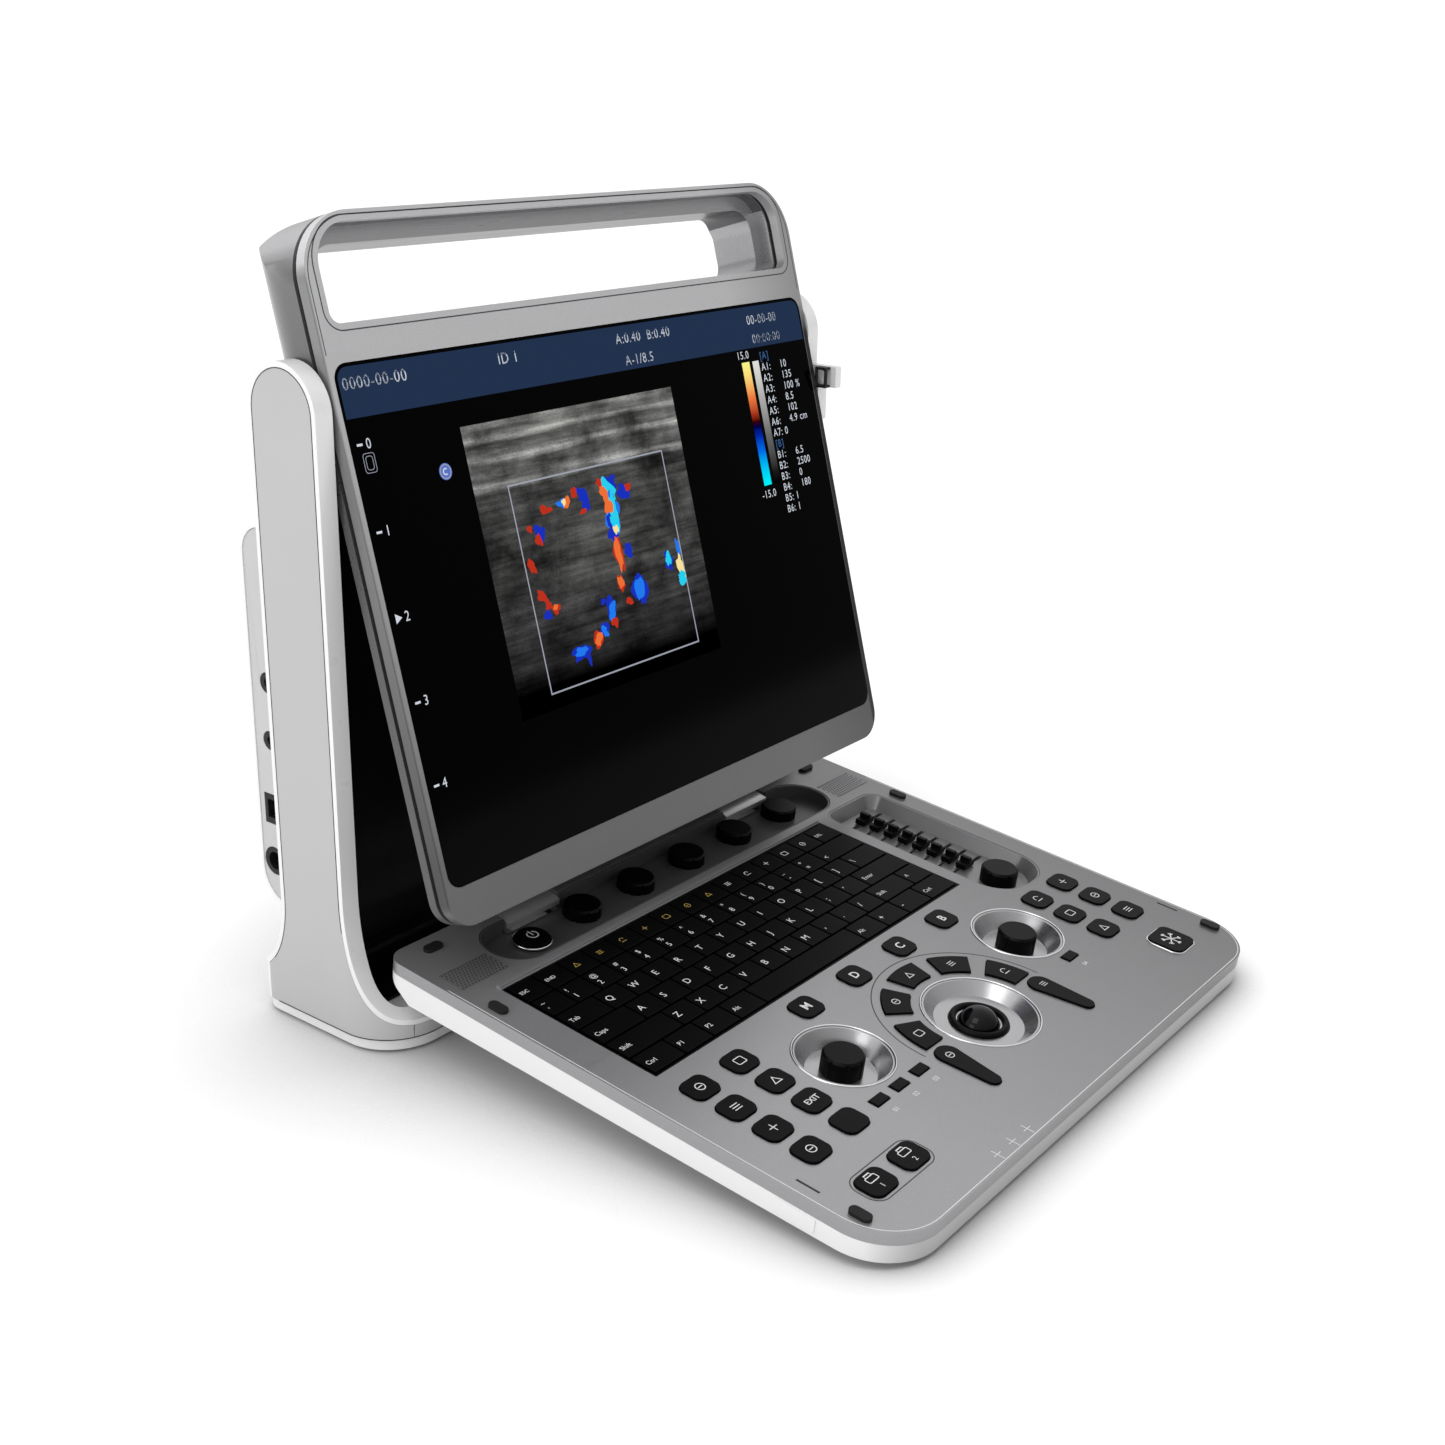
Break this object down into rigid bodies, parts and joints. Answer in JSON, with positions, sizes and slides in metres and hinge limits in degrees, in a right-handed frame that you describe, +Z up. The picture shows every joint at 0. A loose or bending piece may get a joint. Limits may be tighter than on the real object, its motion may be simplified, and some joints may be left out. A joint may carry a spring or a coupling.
{
  "type": "portable ultrasound scanner",
  "caption": "Laptop-style ultrasound scanner: a leaning screen with carry handle between two side wings, and a fold-down console with keyboard, dials, sliders and trackball.",
  "frame": {"origin": "on the surface the scanner stands on, at the middle of the base between the two wings", "axes": "+Z up; -Y towards the user, over the console; +X to the user's right"},
  "size_m": [0.348, 0.36, 0.3613],
  "materials": {
    "white_gloss": "glossy",
    "cover_grey": "matte",
    "strip_grey": "matte",
    "liner_black": "matte",
    "panel_light": "satin",
    "port_black": "matte",
    "connector_grey": "matte",
    "board_green": "matte",
    "battery_black": "matte",
    "rubber_black": "matte",
    "pin_steel": "brushed",
    "silver_paint": "satin metallic",
    "groove_grey": "matte",
    "screen_glass": "glossy black glass",
    "lcd_metal": "plain",
    "strip_dark": "satin",
    "key_black": "glossy",
    "knob_black": "satin",
    "chrome": "polished",
    "ball_black": "glossy"
  },
  "bodies": {
    "base": {"foot_plate": "white_gloss", "base_shell": "white_gloss", "side_cover_left": "cover_grey", "side_cover_right": "cover_grey", "front_strip": "strip_grey", "well_liner": "liner_black", "rear_housing": "white_gloss", "io_panel": "panel_light", "io_ports": "port_black", "probe_connector": "connector_grey", "main_board": "board_green", "battery_pack": "battery_black", "rubber_feet": "rubber_black", "hinge_hardware": "pin_steel", "cable_hook": "port_black"},
    "fan": {"fan_rotor": "liner_black"},
    "screen": {"screen_front_frame": "silver_paint", "screen_rear_shell": "silver_paint", "screen_gasket": "groove_grey", "screen_glass": "screen_glass", "lcd_panel": "lcd_metal"},
    "console": {"console_top_panel": "silver_paint", "console_lower_shell": "white_gloss", "knob_strip": "strip_dark", "speaker_grilles": "strip_dark", "hinge_covers": "silver_paint", "keyboard_tray": "key_black", "gain_tray": "chrome", "control_dishes": "chrome", "rubber_bumpers": "rubber_black"},
    "key_row_1": {"key_row_1": "key_black"},
    "key_row_2": {"key_row_2": "key_black"},
    "key_row_3": {"key_row_3": "key_black"},
    "key_row_4": {"key_row_4": "key_black"},
    "key_row_5": {"key_row_5": "key_black"},
    "key_row_6": {"key_row_6": "key_black"},
    "menu_knob_1": {"menu_knob_1": "knob_black"},
    "menu_knob_2": {"menu_knob_2": "knob_black"},
    "menu_knob_3": {"menu_knob_3": "knob_black"},
    "menu_knob_4": {"menu_knob_4": "knob_black"},
    "menu_knob_5": {"menu_knob_5": "knob_black"},
    "gain_slider_1": {"gain_slider_1": "knob_black"},
    "gain_slider_2": {"gain_slider_2": "knob_black"},
    "gain_slider_3": {"gain_slider_3": "knob_black"},
    "gain_slider_4": {"gain_slider_4": "knob_black"},
    "gain_slider_5": {"gain_slider_5": "knob_black"},
    "gain_slider_6": {"gain_slider_6": "knob_black"},
    "gain_slider_7": {"gain_slider_7": "knob_black"},
    "gain_slider_8": {"gain_slider_8": "knob_black"},
    "power_button": {"power_button": "key_black"},
    "gain_knob": {"gain_knob": "knob_black"},
    "dial_left": {"dial_left": "knob_black"},
    "dial_right": {"dial_right": "knob_black"},
    "trackball": {"trackball": "ball_black"},
    "mode_keys": {"mode_keys": "key_black"},
    "function_keys": {"function_keys": "key_black"},
    "arc_keys": {"arc_keys": "key_black"},
    "soft_buttons": {"soft_buttons": "key_black"},
    "freeze_key": {"freeze_key": "key_black"},
    "print_keys": {"print_keys": "key_black"}
  },
  "joints": [
    {"name": "console_fold", "type": "hinge", "parent": "base", "child": "console", "pos_m": [0, -0.0391, 0.031], "axis": [-1, 0, 0], "range_deg": [0, 97.1]},
    {"name": "screen_tilt", "type": "hinge", "parent": "base", "child": "screen", "pos_m": [0, 0.00275, 0.2835], "axis": [1, 0, 0], "range_deg": [0, 15.26]},
    {"name": "fan_spin", "type": "hinge", "parent": "base", "child": "fan", "pos_m": [0, 0.036, 0.172], "axis": [0, 1, 0], "continuous": true},
    {"name": "key_row_1_press", "type": "slide", "parent": "console", "child": "key_row_1", "axis": [0, 0.1109, -0.9938], "range_m": [0, 0.0015], "stiffness_N_per_m": 900, "springref_m": -0.001},
    {"name": "key_row_2_press", "type": "slide", "parent": "console", "child": "key_row_2", "axis": [0, 0.1109, -0.9938], "range_m": [0, 0.0015], "stiffness_N_per_m": 900, "springref_m": -0.001},
    {"name": "key_row_3_press", "type": "slide", "parent": "console", "child": "key_row_3", "axis": [0, 0.1109, -0.9938], "range_m": [0, 0.0015], "stiffness_N_per_m": 900, "springref_m": -0.001},
    {"name": "key_row_4_press", "type": "slide", "parent": "console", "child": "key_row_4", "axis": [0, 0.1109, -0.9938], "range_m": [0, 0.0015], "stiffness_N_per_m": 900, "springref_m": -0.001},
    {"name": "key_row_5_press", "type": "slide", "parent": "console", "child": "key_row_5", "axis": [0, 0.1109, -0.9938], "range_m": [0, 0.0015], "stiffness_N_per_m": 900, "springref_m": -0.001},
    {"name": "key_row_6_press", "type": "slide", "parent": "console", "child": "key_row_6", "axis": [0, 0.1109, -0.9938], "range_m": [0, 0.0015], "stiffness_N_per_m": 900, "springref_m": -0.001},
    {"name": "power_press", "type": "slide", "parent": "console", "child": "power_button", "axis": [0, 0.1109, -0.9938], "range_m": [0, 0.001], "stiffness_N_per_m": 500, "springref_m": -0.001},
    {"name": "mode_press", "type": "slide", "parent": "console", "child": "mode_keys", "axis": [0, 0.1109, -0.9938], "range_m": [0, 0.0015], "stiffness_N_per_m": 500, "springref_m": -0.001},
    {"name": "function_press", "type": "slide", "parent": "console", "child": "function_keys", "axis": [0, 0.1109, -0.9938], "range_m": [0, 0.0015], "stiffness_N_per_m": 900, "springref_m": -0.001},
    {"name": "arc_press", "type": "slide", "parent": "console", "child": "arc_keys", "axis": [0, 0.1109, -0.9938], "range_m": [0, 0.0015], "stiffness_N_per_m": 900, "springref_m": -0.001},
    {"name": "soft_press", "type": "slide", "parent": "console", "child": "soft_buttons", "axis": [0, 0.1109, -0.9938], "range_m": [0, 0.001], "stiffness_N_per_m": 400, "springref_m": -0.001},
    {"name": "freeze_press", "type": "slide", "parent": "console", "child": "freeze_key", "axis": [0, 0.1109, -0.9938], "range_m": [0, 0.0015], "stiffness_N_per_m": 400, "springref_m": -0.001},
    {"name": "print_press", "type": "slide", "parent": "console", "child": "print_keys", "axis": [0, 0.1109, -0.9938], "range_m": [0, 0.0015], "stiffness_N_per_m": 400, "springref_m": -0.001},
    {"name": "menu_knob_1_turn", "type": "hinge", "parent": "console", "child": "menu_knob_1", "pos_m": [-0.0615, -0.05722, 0.04005], "axis": [0, -0.1109, 0.9938], "continuous": true},
    {"name": "menu_knob_2_turn", "type": "hinge", "parent": "console", "child": "menu_knob_2", "pos_m": [-0.0219, -0.05722, 0.04005], "axis": [0, -0.1109, 0.9938], "continuous": true},
    {"name": "menu_knob_3_turn", "type": "hinge", "parent": "console", "child": "menu_knob_3", "pos_m": [0.0177, -0.05722, 0.04005], "axis": [0, -0.1109, 0.9938], "continuous": true},
    {"name": "menu_knob_4_turn", "type": "hinge", "parent": "console", "child": "menu_knob_4", "pos_m": [0.0573, -0.05722, 0.04005], "axis": [0, -0.1109, 0.9938], "continuous": true},
    {"name": "menu_knob_5_turn", "type": "hinge", "parent": "console", "child": "menu_knob_5", "pos_m": [0.0969, -0.05722, 0.04005], "axis": [0, -0.1109, 0.9938], "continuous": true},
    {"name": "gain_turn", "type": "hinge", "parent": "console", "child": "gain_knob", "pos_m": [0.1263, -0.17747, 0.02662], "axis": [0, -0.1109, 0.9938], "continuous": true},
    {"name": "dial_left_turn", "type": "hinge", "parent": "console", "child": "dial_left", "pos_m": [-0.0749, -0.21673, 0.02224], "axis": [0, -0.1109, 0.9938], "continuous": true},
    {"name": "dial_right_turn", "type": "hinge", "parent": "console", "child": "dial_right", "pos_m": [0.0749, -0.21673, 0.02224], "axis": [0, -0.1109, 0.9938], "continuous": true},
    {"name": "trackball_roll", "type": "hinge", "parent": "console", "child": "trackball", "pos_m": [0, -0.23958, 0.01516], "axis": [1, 0, 0], "continuous": true},
    {"name": "gain_slider_1_slide", "type": "slide", "parent": "console", "child": "gain_slider_1", "axis": [1, 0, 0], "range_m": [-0.011, 0.011]},
    {"name": "gain_slider_2_slide", "type": "slide", "parent": "console", "child": "gain_slider_2", "axis": [1, 0, 0], "range_m": [-0.011, 0.011]},
    {"name": "gain_slider_3_slide", "type": "slide", "parent": "console", "child": "gain_slider_3", "axis": [1, 0, 0], "range_m": [-0.011, 0.011]},
    {"name": "gain_slider_4_slide", "type": "slide", "parent": "console", "child": "gain_slider_4", "axis": [1, 0, 0], "range_m": [-0.011, 0.011]},
    {"name": "gain_slider_5_slide", "type": "slide", "parent": "console", "child": "gain_slider_5", "axis": [1, 0, 0], "range_m": [-0.011, 0.011]},
    {"name": "gain_slider_6_slide", "type": "slide", "parent": "console", "child": "gain_slider_6", "axis": [1, 0, 0], "range_m": [-0.011, 0.011]},
    {"name": "gain_slider_7_slide", "type": "slide", "parent": "console", "child": "gain_slider_7", "axis": [1, 0, 0], "range_m": [-0.011, 0.011]},
    {"name": "gain_slider_8_slide", "type": "slide", "parent": "console", "child": "gain_slider_8", "axis": [1, 0, 0], "range_m": [-0.011, 0.011]}
  ],
  "couplings": [
    {"joint": "screen_tilt", "follows": "console_fold", "ratio": 0.15706}
  ]
}
